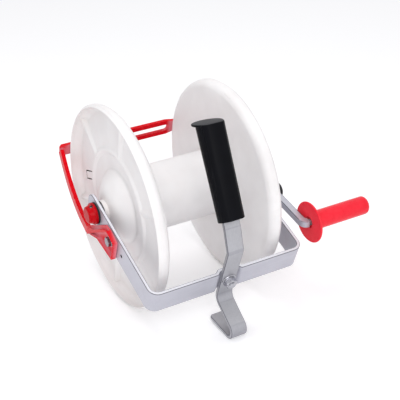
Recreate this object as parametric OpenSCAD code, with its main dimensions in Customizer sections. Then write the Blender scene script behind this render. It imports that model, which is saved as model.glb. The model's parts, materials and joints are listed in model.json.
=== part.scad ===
// Hand-cranked reel for electric fence wire: a moulded drum that turns with its axle
// in a bent steel frame, with a carrying grip, a hook foot, a crank and a swinging wire guide.
// The origin is the middle of the drum on the axle. +X runs along the axle to the crank,
// -Y is the grip side and +Z is up, as the reel stands on its two flanges and its foot.

/* [Drum] */
// Outside diameter of both flanges
flange_d = 245; // [220:1:280]
// Diameter of the barrel that the wire winds on
barrel_d = 79; // [70:1:90]
// Clear width between the flanges
winding_w = 126; // [100:1:150]
// Wall of the flange mouldings
flange_wall = 3; // [2.4:0.1:3.6]
// Wall of the barrel tube
barrel_wall = 3; // [2.4:0.1:4]
// How far the rim rolls outward from the winding face
rim_depth = 13; // [11:0.5:16]
// Outer radius of the rolled edge of the rim
rim_round = 9; // [6:0.5:9.5]
// Base diameter of the domed hub
dome_d = 94; // [88:1:104]
// Height of the domed hub above the web
dome_h = 21; // [17:0.5:23]
// Diameter of the neck that ends the domed hub
neck_d = 26; // [24:0.5:30]
// Length of the neck past the top of the dome
neck_len = 4; // [4:0.5:12]
// Outside diameter of the crater ring around the dome
ring_d = 138; // [124:1:150]
// Height of the crater ring above the root of the rim
ring_h = 3.5; // [2:0.5:3.5]
// Number of stiffening ribs on each flange
rib_count = 6; // [4:1:9]
// Thickness of a stiffening rib at its top
rib_t = 3; // [2:0.5:5]
// Height of a stiffening rib above the root of the rim
rib_h = 4.5; // [4:0.25:6]
// Length of the tongue that grips the wire's end
tongue_len = 26; // [20:1:28]
// Width of that tongue
tongue_w = 8.5; // [7:0.5:10]
// Width of the slit around the tongue
tongue_slit = 1.5; // [1.2:0.1:2.5]

/* [Axle] */
// Diameter of the axle
axle_d = 12; // [10:0.5:14]
// Diameter of the cap on the free end of the axle
cap_d = 26; // [24:0.5:30]
// Length of that cap
cap_len = 10; // [9:0.5:16]
// Diameter of the spring pins through the axle
pin_d = 4; // [3:0.25:5]

/* [Frame] */
// Width of the flat bar
bar_w = 30; // [26:0.5:36]
// Thickness of the flat bar
bar_t = 4; // [3:0.25:5]
// Inner radius of the two corner bends
corner_r = 8; // [6:0.5:16]
// Gap between the flange rims and the base of the frame
front_gap = 11.5; // [8:0.5:24]
// How far the arms run on past the axle
arm_tail = 22.5; // [20:0.5:32]
// Angle of the frame below the horizontal as the reel stands, in degrees
droop = 22.5; // [20:0.5:25]
// Distance from the axle to the spare hole in the guide arm
spare_hole_s = 69; // [66:0.5:90]
// Diameter of the spare hole
spare_hole_d = 4; // [3:0.25:6]

/* [Handle] */
// Width of the handle strip
strip_w = 20; // [16:0.5:22]
// Thickness of the handle strip
strip_t = 4; // [3:0.25:5]
// Angle of the grip back towards the drum, in degrees
grip_lean = 45; // [36:1:50]
// Length of the grip
grip_len = 107; // [90:1:120]
// Diameter of the grip at its lower end
grip_d = 29.5; // [28:0.5:33]
// Diameter of the grip below its cap
grip_top_d = 31.5; // [30:0.5:35]
// Depth of the grip between its flat front and back
grip_depth = 25.5; // [23:0.5:27.5]
// Diameter of the round cap that ends the grip
grip_cap_d = 35; // [33:0.5:40]
// Height of the strip from its bolt to its first bend
strip_rise = 45; // [36:1:56]
// Length of the strip from its first bend to its second
strip_mid = 25; // [18:1:32]
// Length of the hook shelf below the frame
shelf_len = 28; // [22:0.5:36]
// Length of the foot plate under the hook shelf
foot_len = 39; // [24:0.5:42]

/* [Crank] */
// Distance from the axle to the crank pin
crank_throw = 116; // [100:1:120]
// Side of the square crank bar
crank_bar_a = 8; // [7:0.5:9]
// Angle of the crank below the horizontal as the reel stands, in degrees
crank_angle = 13; // [0:0.5:45]
// Length of the plastic lever along the bar
lever_len = 58; // [50:1:80]
// Diameter of the crank grip
knob_d = 22.5; // [20:0.5:28]
// Length of the crank grip with its flange
knob_len = 83; // [78:1:100]
// Diameter of the hand guard on the crank grip
knob_flange_d = 50; // [44:1:64]

/* [Wire guide] */
// Gap between the flange rims and the crossing bar
guide_gap = 4.7; // [3:0.1:12]
// Height of the crossing bar
guide_bar_h = 20; // [16:0.5:26]
// Thickness of the guide's arm and crossing bar
guide_t = 5; // [4:0.25:7]
// Height of the guide's arm
guide_arm_h = 11; // [8:0.5:12]
// Height of the wire slot
slot_h = 8.5; // [6:0.25:10]
// Distance from the axle to the guide bolt
guide_bolt_s = 44.5; // [42:0.5:48]
// Depth of the guide's tray over the arm of the frame
tray_d = 6; // [5:0.25:8]
// Angle of the crossing bar below the line of the frame's arms, in degrees
guide_angle = 10.7; // [5:0.1:16]

/* [Hidden] */

// Facets of round faces and of hexagons
$fn = 96;
hex_sides = 6;

// Clearances: around fitted pieces, between turning pieces, and past the ends of cuts
fit = 0.05;
play = 0.3;
overrun = 1;

// Bent bar thins a little, and each bend laps into the flats by an angle
bend_thin = 0.02;
bend_lap = 2;

// Colours of the materials
white_pp = "whitesmoke";
red_pp = "crimson";
black_nylon = "dimgray";
black_pvc = "#202024";
zinc = "lightsteelblue";

// Drum
flange_r = flange_d / 2;
barrel_r = barrel_d / 2;
face_x = winding_w / 2;
rim_centre_r = flange_r - rim_round;
pan_round = rim_depth - flange_wall - flange_wall / 2;
pan_centre_r = flange_r - flange_wall - pan_round;
lip_x = face_x + rim_depth;
dome_r = dome_d / 2;
dome_ball_r = (dome_r * dome_r + dome_h * dome_h) / (2 * dome_h);
dome_centre_u = flange_wall + dome_h - dome_ball_r;
dome_top_u = flange_wall + dome_h;
neck_r = neck_d / 2;
neck_top_u = dome_top_u + neck_len;
ring_r = ring_d / 2;
ring_top_w = 1.5;
ring_lap = 3;
ring_foot_h = 1;
spigot_len = 8;
spigot_wall = 3;
spigot_r = barrel_r - barrel_wall - fit;
spigot_in_r = spigot_r - spigot_wall;
key_count = 3;
key_w = 6;
key_h = barrel_wall / 2;
rib_start_angle = 30;
rib_foot = 2.5;
tongue_angle = 187.7;
tongue_slant = 24;
tongue_rake = 2.4;
tongue_gap = 14;
tongue_r = ring_r + tongue_gap;

// Axle line, from the drum outward
washer_t = 1.2;
washer_d = 22;
neck_x = face_x + neck_top_u;
bush_end_x = neck_x + washer_t + play;
bush_lead = 1;
arm_in_x = bush_end_x + bush_lead;
arm_out_x = arm_in_x + bar_t;
bush_wall = 2;
bush_flange_d = 26;
bush_flange_t = 1.8;
bush_d = axle_d + 2 * fit + 2 * bush_wall;
bush_room = 0.1;
cap_x = arm_out_x + bush_flange_t + play;
cap_end_wall = 3;
cap_end_x = cap_x + cap_len;
cap_rim_t = 3;
cap_taper_share = 0.78;
cap_round = 2.5;
cap_pin_share = 0.42;
cap_pin_x = cap_x + cap_len * cap_pin_share;
neck_pin_share = 0.4;
drum_pin_x = face_x + dome_top_u + neck_len * neck_pin_share;

// Crank
hub_on_axle = 10.4;
crank_seat_x = cap_x + hub_on_axle;
crank_mid_x = crank_seat_x + crank_bar_a / 2;
hub_pin_s = 5;
crank_pin_x = cap_x + hub_pin_s;
hub_r = 15;
hub_proud = 1;
lever_t = 5;
lever_h = 18;
hub_end_x = crank_seat_x + crank_bar_a + lever_t;
bar_back = 12;
crank_bend_r = 6;
crank_shoulder = 0.6;
crank_pin_end = 70;
knob_x = crank_mid_x + crank_bend_r + crank_shoulder + play;
knob_flange_t = 2.5;
knob_round = 5;
knob_blend_r = 5;
knob_mouth_d = 14;
knob_mouth_depth = 4;
knob_end_wall = 6;
snap_s = 44;
snap_x = knob_x + snap_s;
snap_depth = 0.6;
snap_w = 3;
snap_room = 0.15;
screw_d = 4;
screw_head_d = 7.5;
screw_head_h = 2.4;
screw_shares = [0.45, 0.8];
screw_places = lever_len * screw_shares;

// Frame, in its own axes: -Y along the arms from the axle, +Z across the flat bar
arm_reach = flange_r + front_gap + bar_t + strip_t;
corner_mid_r = corner_r + bar_t / 2;
arm_mid_x = arm_out_x - bar_t / 2;
recess_room = 0.5;
recess_flat = strip_w + 2 * recess_room;
recess_turn = 45;
recess_bend_share = 0.75;
recess_bend_r = bar_t * recess_bend_share;
recess_ramp = (strip_t - 2 * recess_bend_r * (1 - cos(recess_turn))) / sin(recess_turn);
recess_half = recess_flat / 2 + 2 * recess_bend_r * sin(recess_turn) + recess_ramp * cos(recess_turn);
base_side = arm_mid_x - corner_mid_r - recess_half;
tail_round = 12;

// Handle strip, in the frame's axes
strip_lean = 35;
lean_r = 6;
shelf_turn = 75;
shelf_drop = 90 - shelf_turn;
shelf_r = 12;
foot_rise = 6;
fold_turn = 180 - shelf_drop - droop + foot_rise;
foot_round = 4;
fold_r = 9;
shelf_end_p = shelf_r * (1 - cos(shelf_turn)) + shelf_len * cos(shelf_drop) - strip_t / 2;
fold_p = shelf_end_p - fold_r * sin(shelf_drop);
fold_low = fold_r + strip_t / 2;
fold_q = (fold_low - flange_r + (arm_reach + fold_p) * sin(droop)) / cos(droop);
shelf_fall = shelf_r * sin(shelf_turn) + shelf_len * sin(shelf_drop);
strip_fall = -fold_q - shelf_fall - fold_r * cos(shelf_drop);
grip_start = 8;
grip_end_wall = 8;
strip_in_grip = grip_len - grip_end_wall;
grip_forward = 2.5;
grip_cap_t = 2.5;
grip_cap_back = 5;
grip_cap_slope = 8;

// Fasteners
m8_d = 8;
m8_flats = 13;
m8_nut_h = 6.5;
m8_washer_d = 17;
m8_washer_t = 1.6;
m8_end = 2;
m8_head_d = 19;
m8_head_h = 4.4;
m6_d = 6;
m6_flats = 10;
m6_head_h = 3.5;
m6_nut_h = 3.2;
m6_washer_d = 12;
m6_washer_t = 1.2;
m6_end = 0.8;
hex_share = 1 / cos(180 / hex_sides);

// Wire guide, in the frame's axes
guide_bar_r = flange_r + guide_gap;
guide_side_gap = 8;
guide_in_x = lip_x + guide_side_gap;
tray_back_x = arm_out_x + play;
tray_out_x = tray_back_x + tray_d;
tray_floor = 1.8;
tray_wall = 1.5;
tray_front = 14;
tray_front_top = 10.5;
tray_top = 13.5;
tray_top_s = 40;
tray_shoulder = 11;
tray_low = 16;
tray_heel_s = 20;
tray_heel_low = 21.5;
tray_neck_s = 4;
tray_neck_low = 16.5;
tray_chamfer_s = 29.5;
tray_ledge = 4;
crest_s = 22;
crest_low = 6;
arm_root_back = 7;
arm_root_low = 34;
arm_root = [arm_root_back, -arm_root_low];
arm_sag = 12.6;
guide_thin_h = 14;
guide_thin_len = 22;
guide_top = guide_bar_h / 2;
guide_tip_h = 12;
guide_tip_len = 20;
guide_overhang = 4;
guide_right_x = lip_x + guide_overhang;
guide_corner_share = 0.8;
guide_corner = guide_t * guide_corner_share;
guide_lap = 0.6;
slot_left_x = -(face_x - play);
slot_right_x = face_x - play;
arm_tip_r = guide_bar_r + guide_t / 2;
arm_tip_up = guide_top - guide_thin_h / 2;
arm_tip = [
    arm_tip_r * cos(guide_angle) + arm_tip_up * sin(guide_angle),
    arm_tip_up * cos(guide_angle) - arm_tip_r * sin(guide_angle)
];
arm_chord = norm(arm_tip - arm_root);
arm_r = (arm_chord * arm_chord / 4 + arm_sag * arm_sag) / (2 * arm_sag);
arm_rise = atan2(arm_tip[1] - arm_root[1], arm_tip[0] - arm_root[0]);
arm_half_turn = asin(arm_chord / 2 / arm_r);
arm_root_lap = 0.7;
arm_centre = (arm_root + arm_tip) / 2 + (arm_r - arm_sag) * [-sin(arm_rise), cos(arm_rise)];
arm_tilt = atan2(tray_out_x - guide_t - guide_in_x, arm_tip[0] - arm_root[0]);

// Corners of the tray over the frame's arm, listed counter-clockwise as [y, z]
tray_heel = [-tray_heel_s, -tray_heel_low];
root_low_corner = [arm_root[0], arm_root[1] - guide_arm_h / 2];
root_high_corner = [arm_root[0], arm_root[1] + guide_arm_h / 2];
tray_neck = [-tray_neck_s, -tray_neck_low];
tray_chamfer = [-tray_chamfer_s, tray_shoulder];
tray_peak = [-tray_top_s, tray_top];
tray_front_high = [-guide_bolt_s - tray_front, tray_front_top];
tray_front_low = [-guide_bolt_s - tray_front, -tray_low];
tray_points = [tray_heel, root_low_corner, root_high_corner, tray_neck, tray_chamfer, tray_peak,
    tray_front_high, tray_front_low];

// The pocket under the tray's crest, and the ledge above it
pocket_points = [tray_heel, root_low_corner, [-crest_s, -crest_low], tray_peak, tray_front_high,
    tray_front_low];
ledge_way = (tray_chamfer - tray_neck) / norm(tray_chamfer - tray_neck);
ledge_out = [ledge_way[1], -ledge_way[0]];
ledge_points = [
    root_high_corner,
    tray_neck + ledge_out * overrun,
    tray_chamfer + ledge_out * overrun,
    tray_peak + ledge_out * overrun,
    tray_peak,
    tray_chamfer - ledge_out * tray_ledge,
    tray_neck - ledge_out * tray_ledge
];

// A step of one along an angle
function spoke(angle) = [cos(angle), sin(angle)];

// The corners of an outline moved inward by a wall
function edge_way(points, i) =
    let (step = points[(i + 1) % len(points)] - points[i])
    step / norm(step);
function inset(points, wall) = [
    for (i = [0 : len(points) - 1])
        let (
            back = edge_way(points, (i + len(points) - 1) % len(points)),
            ahead = edge_way(points, i),
            spread = back[0] * ahead[1] - back[1] * ahead[0]
        )
        points[i] + (ahead - back) * wall / spread
];

// Turns from the frame's axes, or from the crank's, to the standing reel
module in_frame() {
    rotate([droop, 0, 0]) children();
}
module in_drum() {
    rotate([crank_angle, 0, 0]) children();
}

// Turns a solid of revolution from +Z to +X, and a flat outline from the XY plane to YZ
module along_x() {
    rotate([0, 90, 0]) children();
}
module upright(depth) {
    rotate([90, 0, 90]) linear_extrude(depth) children();
}

// A bar that starts along +X and bends towards +Z or, for a negative turn, towards -Z.
// Each move is [straight length, turn in degrees, radius of the bend's middle line].
// A bend is slightly thinner than the flats and runs a little way into them.
// The corners of the free end can be rounded.
module bent_bar(moves, width, thick, end_r = 0, i = 0) {
    length = moves[i][0];
    turn = moves[i][1];
    bend_r = moves[i][2];
    way = turn < 0 ? -1 : 1;
    last = i == len(moves) - 1;
    translate([0, -width / 2, -thick / 2]) cube([last ? length - end_r : length, width, thick]);
    if (last && end_r > 0) translate([length - end_r, 0, -thick / 2]) linear_extrude(thick) {
        translate([0, end_r - width / 2]) square([end_r, width - 2 * end_r]);
        for (side = [-1, 1]) translate([0, side * (width / 2 - end_r)]) circle(r = end_r);
    }
    if (!last) translate([length, 0, 0]) {
        bend_side(way) translate([0, 0, bend_r]) rotate([90, 0, 0]) rotate(-90 - bend_lap)
            rotate_extrude(angle = abs(turn) + 2 * bend_lap) translate([bend_r, 0])
                square([thick - bend_thin, width - bend_thin], center = true);
        translate([bend_r * sin(abs(turn)), 0, way * bend_r * (1 - cos(turn))]) rotate([0, -turn, 0])
            bent_bar(moves, width, thick, end_r, i + 1);
    }
}
module bend_side(way) {
    if (way < 0) mirror([0, 0, 1]) children();
    else children();
}

// A hexagon prism, given by its width across flats
module hexagon(flats, height) {
    cylinder(d = flats * hex_share, h = height, $fn = hex_sides);
}

// Half profile of one flange: across is the radius, up is the distance out from the winding face
module flange_profile() {
    difference() {
        union() {
            translate([spigot_in_r, 0]) square([rim_centre_r - spigot_in_r, flange_wall]);
            difference() {
                union() {
                    translate([rim_centre_r, rim_round]) circle(r = rim_round);
                    translate([rim_centre_r, rim_round])
                        square([rim_round, rim_depth - rim_round - flange_wall / 2]);
                    translate([pan_centre_r, flange_wall / 2])
                        square([rim_centre_r - pan_centre_r, pan_round]);
                }
                translate([pan_centre_r, flange_wall + pan_round]) circle(r = pan_round);
                translate([pan_centre_r - pan_round, flange_wall + pan_round])
                    square([2 * pan_round, rim_depth]);
                translate([pan_centre_r - pan_round, flange_wall]) square([pan_round, rim_depth]);
            }
            translate([flange_r - flange_wall / 2, rim_depth - flange_wall / 2]) circle(d = flange_wall);
            polygon([
                [dome_r - ring_lap, 0],
                [pan_centre_r, 0],
                [pan_centre_r, flange_wall],
                [ring_r, flange_wall + ring_h],
                [ring_r - ring_top_w, flange_wall + ring_h],
                [dome_r - ring_lap, flange_wall + ring_foot_h]
            ]);
            intersection() {
                translate([0, dome_centre_u]) circle(r = dome_ball_r);
                square([dome_r, dome_top_u]);
            }
            square([neck_r, neck_top_u]);
            translate([spigot_in_r, -spigot_len]) square([spigot_wall, spigot_len + flange_wall]);
        }
        intersection() {
            translate([0, dome_centre_u]) circle(r = dome_ball_r - flange_wall);
            translate([neck_r, -overrun]) square([spigot_in_r - neck_r, dome_top_u]);
        }
        translate([0, -overrun]) square([axle_d / 2 + fit, neck_top_u + 2 * overrun]);
    }
}

// Half profile of the room inside the rim, reaching halfway into its wall
module rim_inside() {
    square([pan_centre_r, rim_depth]);
    translate([pan_centre_r, flange_wall + pan_round]) circle(r = pan_round + flange_wall / 2);
}

// One flange less any cuts handed in, with its inner face at the origin and its neck towards +Z
module flange_solid() {
    difference() {
        union() {
            rotate_extrude() flange_profile();
            for (i = [0 : rib_count - 1]) rotate(rib_start_angle + i * 360 / rib_count)
                intersection() {
                    translate([ring_r - ring_top_w / 2, 0, 0]) upright(flange_r - ring_r) rib_outline();
                    rotate_extrude() rim_inside();
                }
            for (i = [0 : key_count - 1]) rotate(i * 360 / key_count)
                translate([spigot_r - spigot_wall / 2, -key_w / 2, -spigot_len])
                    cube([spigot_wall / 2 + key_h, key_w, spigot_len + flange_wall / 2]);
        }
        children();
    }
}

// Section of a rib, which slopes out at its foot
module rib_outline() {
    foot_y = rib_t / 2 + rib_foot;
    polygon([
        [-foot_y, flange_wall / 2],
        [foot_y, flange_wall / 2],
        [foot_y, flange_wall],
        [rib_t / 2, flange_wall + rib_h],
        [-rib_t / 2, flange_wall + rib_h],
        [-foot_y, flange_wall]
    ]);
}

// The slit that frees three sides of the wire tongue in the web
module tongue_cut() {
    rotate(tongue_angle) translate([tongue_r, 0, -overrun]) rotate(tongue_slant)
        linear_extrude(flange_wall + ring_h + 2 * overrun) difference() {
            tongue_outline(tongue_len / 2 + tongue_slit, tongue_w / 2 + tongue_slit);
            translate([-tongue_slit, 0]) tongue_outline(tongue_len / 2 + tongue_slit, tongue_w / 2);
        }
}
module tongue_outline(half_len, half_w) {
    polygon([
        [-half_len, -half_w],
        [half_len - tongue_rake / 2, -half_w],
        [half_len + tongue_rake / 2, half_w],
        [-half_len, half_w]
    ]);
}

// Turns the flange's own angles, which run from the crank's side, to the standing drum
module on_drum_side() {
    in_drum() along_x() rotate(-90) children();
}

module drum_left_flange() {
    color(white_pp) mirror([1, 0, 0]) translate([face_x, 0, 0]) on_drum_side() mirror([0, 1, 0])
        flange_solid() tongue_cut();
}

module drum_right_flange() {
    color(white_pp) difference() {
        translate([face_x, 0, 0]) on_drum_side() mirror([0, 1, 0]) flange_solid();
        cross_hole(drum_pin_x, neck_d);
    }
}

// A hole for a spring pin, square to the crank and to the axle
module cross_hole(x, span) {
    in_drum() translate([x, 0, -span / 2 - overrun])
        cylinder(d = pin_d + 2 * fit, h = span + 2 * overrun);
}
module spring_pin(x, span) {
    color(zinc) in_drum() translate([x, 0, -span / 2]) cylinder(d = pin_d, h = span);
}

module drum_barrel() {
    color(white_pp) in_drum() along_x() rotate(-90) difference() {
        translate([0, 0, -face_x]) cylinder(d = barrel_d, h = winding_w);
        translate([0, 0, -face_x - overrun])
            cylinder(r = barrel_r - barrel_wall, h = winding_w + 2 * overrun);
        for (end = [0, 1], i = [0 : key_count - 1]) mirror([0, 0, end]) rotate(-i * 360 / key_count)
            translate([spigot_r - spigot_wall / 2, -key_w / 2 - fit, face_x - spigot_len - fit])
                cube([spigot_wall / 2 + key_h + 2 * fit, key_w + 2 * fit, spigot_len + fit + overrun]);
    }
}

module axle() {
    color(zinc) difference() {
        translate([-cap_end_x + cap_end_wall, 0, 0]) along_x()
            cylinder(d = axle_d, h = cap_end_x - cap_end_wall + crank_seat_x - play);
        cross_hole(-cap_pin_x, axle_d);
        cross_hole(drum_pin_x, axle_d);
        cross_hole(crank_pin_x, axle_d);
    }
}

module drum_pin() {
    spring_pin(drum_pin_x, neck_d - play);
}

module thrust_washers() {
    color(zinc) for (side = [0, 1]) mirror([side, 0, 0]) translate([neck_x, 0, 0]) along_x()
        difference() {
            cylinder(d = washer_d, h = washer_t);
            translate([0, 0, -overrun]) cylinder(r = axle_d / 2 + fit, h = washer_t + 2 * overrun);
        }
}

// Bush in an arm of the frame, with its flange outside
module axle_bush() {
    bush_len = bush_lead + bar_t + bush_flange_t;
    color(black_nylon) translate([bush_end_x, 0, 0]) along_x() difference() {
        union() {
            cylinder(d = bush_d, h = bush_len);
            translate([0, 0, bush_lead + bar_t]) cylinder(d = bush_flange_d, h = bush_flange_t);
        }
        translate([0, 0, -overrun]) cylinder(r = axle_d / 2 + fit, h = bush_len + 2 * overrun);
    }
}
module left_bush() {
    mirror([1, 0, 0]) axle_bush();
}
module right_bush() {
    axle_bush();
}

module axle_cap() {
    tip_r = cap_d / 2 * cap_taper_share;
    color(red_pp) difference() {
        mirror([1, 0, 0]) translate([cap_x, 0, 0]) along_x() rotate_extrude() difference() {
            union() {
                square([cap_d / 2, cap_rim_t]);
                polygon([
                    [0, 0],
                    [cap_d / 2 - cap_round / 2, cap_rim_t],
                    [tip_r, cap_len - cap_round],
                    [tip_r - cap_round, cap_len],
                    [0, cap_len]
                ]);
                translate([tip_r - cap_round, cap_len - cap_round]) circle(r = cap_round);
            }
            translate([0, -overrun]) square([axle_d / 2 + fit, cap_len - cap_end_wall + fit + overrun]);
        }
        cross_hole(-cap_pin_x, cap_d);
    }
}

module cap_pin() {
    spring_pin(-cap_pin_x, cap_d * (1 + cap_taper_share) / 2 - play);
}

module crank_hub() {
    color(black_nylon) difference() {
        union() {
            translate([cap_x, 0, 0]) along_x() cylinder(r = hub_r, h = hub_end_x + hub_proud - cap_x);
            in_drum() translate([hub_end_x - lever_t, 0, 0]) upright(lever_t) {
                translate([lever_h / 2 - lever_len, -lever_h / 2])
                    square([lever_len - lever_h / 2, lever_h]);
                translate([lever_h / 2 - lever_len, 0]) circle(d = lever_h);
            }
        }
        translate([cap_x - overrun, 0, 0]) along_x()
            cylinder(r = axle_d / 2 + fit, h = crank_seat_x - cap_x + overrun);
        in_drum() translate([crank_seat_x - fit, -hub_r - overrun, -crank_bar_a / 2 - fit])
            cube([crank_bar_a + fit, hub_r + overrun + bar_back + fit, crank_bar_a + 2 * fit]);
        in_drum() for (place = screw_places) translate([hub_end_x - lever_t - overrun, -place, 0]) along_x()
            cylinder(r = screw_d / 2 + fit, h = lever_t + 2 * overrun);
        cross_hole(crank_pin_x, 2 * hub_r);
    }
}

module crank_pin() {
    spring_pin(crank_pin_x, 2 * hub_r - play);
}

// Square bar that turns into a round pin for the grip, with a groove for the grip's snap bead
module crank_bar() {
    straight = bar_back + crank_throw - crank_bend_r;
    color(zinc) in_drum() difference() {
        union() {
            translate([crank_mid_x, bar_back, 0]) rotate([-90, 0, -90])
                bent_bar([[straight, 90, crank_bend_r], [crank_shoulder, 0, 0]], crank_bar_a, crank_bar_a);
            translate([crank_mid_x + crank_bend_r, -crank_throw, 0]) along_x()
                cylinder(d = crank_bar_a, h = crank_pin_end);
        }
        translate([snap_x, -crank_throw, 0]) along_x() rotate_extrude()
            translate([crank_bar_a / 2 - snap_depth, 0]) square([snap_depth + overrun, snap_w]);
        for (place = screw_places) translate([crank_mid_x, -place, 0]) along_x()
            cylinder(r = screw_d / 2 + fit, h = crank_bar_a / 2 + overrun);
    }
}

module crank_screws() {
    head_s = hub_end_x - crank_mid_x - fit;
    color(zinc) in_drum() for (place = screw_places) translate([crank_mid_x + fit, -place, 0])
        along_x() {
            cylinder(d = screw_d, h = head_s);
            translate([0, 0, head_s]) cylinder(d = screw_head_d, h = screw_head_h);
        }
}

module crank_grip() {
    body_r = knob_d / 2;
    guard_r = knob_flange_d / 2 - knob_flange_t / 2;
    bore_r = crank_bar_a / 2 + fit;
    color(red_pp) in_drum() translate([knob_x, -crank_throw, 0]) along_x() rotate_extrude()
        difference() {
            union() {
                square([guard_r, knob_flange_t]);
                translate([guard_r, knob_flange_t / 2]) circle(d = knob_flange_t);
                square([body_r, knob_len - knob_round]);
                square([body_r - knob_round, knob_len]);
                translate([body_r - knob_round, knob_len - knob_round]) circle(r = knob_round);
                translate([body_r, knob_flange_t]) difference() {
                    square(knob_blend_r);
                    translate([knob_blend_r, knob_blend_r]) circle(r = knob_blend_r);
                }
            }
            translate([0, -overrun]) square([bore_r, snap_s + play + overrun]);
            translate([0, snap_s + play]) square([crank_bar_a / 2 - snap_depth + snap_room, snap_w]);
            translate([0, snap_s + snap_w - play])
                square([bore_r, knob_len - knob_end_wall - snap_s - snap_w + play]);
            translate([0, -overrun]) square([knob_mouth_d / 2, knob_mouth_depth + overrun]);
        }
}

// The flat bar starts at the tail of the left arm and bends towards the inside of the U
module u_frame() {
    arm_len = arm_tail + arm_reach - bar_t / 2 - corner_mid_r;
    color(zinc) in_frame() difference() {
        intersection() {
            translate([-arm_mid_x, arm_tail, 0]) rotate([-90, 0, -90]) bent_bar([
                [arm_len, 90, corner_mid_r],
                [base_side, recess_turn, recess_bend_r],
                [recess_ramp, -recess_turn, recess_bend_r],
                [recess_flat, -recess_turn, recess_bend_r],
                [recess_ramp, recess_turn, recess_bend_r],
                [base_side, 90, corner_mid_r],
                [arm_len, 0, 0]
            ], bar_w, bar_t);
            translate([-arm_out_x - overrun, 0, 0]) upright(2 * arm_out_x + 2 * overrun) frame_side();
        }
        for (side = [0, 1]) mirror([side, 0, 0]) translate([arm_in_x - overrun, 0, 0]) along_x()
            cylinder(r = bush_d / 2 + bush_room, h = bar_t + 2 * overrun);
        translate([-arm_out_x - overrun, -guide_bolt_s, 0]) along_x()
            cylinder(r = m6_d / 2 + fit, h = bar_t + 2 * overrun);
        translate([-arm_out_x - overrun, -spare_hole_s, 0]) along_x()
            cylinder(d = spare_hole_d, h = bar_t + 2 * overrun);
        bolt_hole(m8_d / 2 + fit);
    }
}

// Outline of the bent bar seen along the axle, with rounded tails
module frame_side() {
    translate([-arm_reach - overrun, -bar_w / 2])
        square([arm_reach + overrun + arm_tail - tail_round, bar_w]);
    translate([0, -bar_w / 2 + tail_round]) square([arm_tail, bar_w - 2 * tail_round]);
    for (side = [-1, 1]) translate([arm_tail - tail_round, side * (bar_w / 2 - tail_round)])
        circle(r = tail_round);
}

// Moves to the outer face of the base, with +X down the handle's bolt and out of the frame
module at_bolt() {
    translate([0, -arm_reach, 0]) rotate([0, 0, -90]) children();
}
module bolt_hole(hole_r) {
    at_bolt() translate([-strip_t - bar_t - overrun, 0, 0]) along_x()
        cylinder(r = hole_r, h = strip_t + bar_t + 2 * overrun);
}

module handle_strip() {
    color(zinc) in_frame() difference() {
        at_bolt() translate([-strip_t / 2, 0, 0]) {
            rotate([0, -90, 0]) bent_bar([
                [strip_rise, strip_lean, lean_r],
                [strip_mid, grip_lean - strip_lean, lean_r],
                [grip_start + strip_in_grip, 0, 0]
            ], strip_w, strip_t);
            rotate([0, 90, 0]) bent_bar([
                [strip_fall, shelf_turn, shelf_r],
                [shelf_len, -fold_turn, fold_r],
                [foot_len, 0, 0]
            ], strip_w, strip_t, foot_round);
        }
        bolt_hole(m8_d / 2 + fit);
    }
}

// Moves up a straight length of the strip and round a bend, towards the back
module past_bend(length, turn) {
    translate([-lean_r * (1 - cos(turn)), 0, length + lean_r * sin(turn)]) rotate([0, -turn, 0])
        children();
}

// Moves to the lower end of the grip, with +Z up the grip and +X to its front
module at_grip() {
    at_bolt() translate([-strip_t / 2, 0, 0]) past_bend(strip_rise, strip_lean)
        past_bend(strip_mid, grip_lean - strip_lean) translate([0, 0, grip_start]) children();
}

module handle_grip() {
    color(black_pvc) in_frame() at_grip() difference() {
        union() {
            intersection() {
                grip_body();
                grip_top(-grip_len) cube(2 * grip_len, center = true);
            }
            intersection() {
                translate([grip_forward - grip_cap_back, 0, 0])
                    cylinder(d = grip_cap_d, h = 2 * grip_len);
                grip_top(-grip_cap_t / 2) cube([2 * grip_len, grip_len, grip_cap_t], center = true);
            }
        }
        translate([-strip_t / 2 - fit, -strip_w / 2 - fit, -overrun])
            cube([strip_t + 2 * fit, strip_w + 2 * fit, strip_in_grip + fit + overrun]);
    }
}

// A slim cone with a flat front and back, which runs on past the cap
module grip_body() {
    body_len = grip_len + grip_depth;
    body_end_d = grip_d + (grip_top_d - grip_d) * body_len / grip_len;
    translate([grip_forward, 0, 0]) intersection() {
        cylinder(d1 = grip_d, d2 = body_end_d, h = body_len);
        translate([-grip_depth / 2, -grip_len, -overrun])
            cube([grip_depth, 2 * grip_len, body_len + 2 * overrun]);
    }
}

// Moves to the sloping top of the grip's cap
module grip_top(rise) {
    translate([0, 0, grip_len]) rotate([0, grip_cap_slope, 0]) translate([0, 0, rise])
        children();
}

module handle_bolt() {
    head_x = -strip_t - bar_t;
    color(zinc) in_frame() at_bolt() {
        translate([head_x, 0, 0]) along_x()
            cylinder(d = m8_d, h = strip_t + bar_t + m8_washer_t + m8_nut_h + m8_end);
        translate([head_x, 0, 0]) rotate([0, -90, 0])
            cylinder(d1 = m8_head_d, d2 = m8_d, h = m8_head_h);
    }
}

module handle_washer() {
    color(zinc) in_frame() at_bolt() along_x() difference() {
        cylinder(d = m8_washer_d, h = m8_washer_t);
        translate([0, 0, -overrun]) cylinder(r = m8_d / 2 + fit, h = m8_washer_t + 2 * overrun);
    }
}

module handle_nut() {
    color(zinc) in_frame() at_bolt() translate([m8_washer_t, 0, 0]) along_x() difference() {
        hexagon(m8_flats, m8_nut_h);
        translate([0, 0, -overrun]) cylinder(r = m8_d / 2 + fit, h = m8_nut_h + 2 * overrun);
    }
}

module wire_guide() {
    color(red_pp) in_frame() difference() {
        union() {
            guide_tray();
            guide_arm();
            guide_crossing_bar();
        }
        translate([-tray_out_x - overrun, -guide_bolt_s, 0]) along_x()
            cylinder(r = m6_d / 2 + fit, h = tray_d + 2 * overrun);
    }
}

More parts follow.
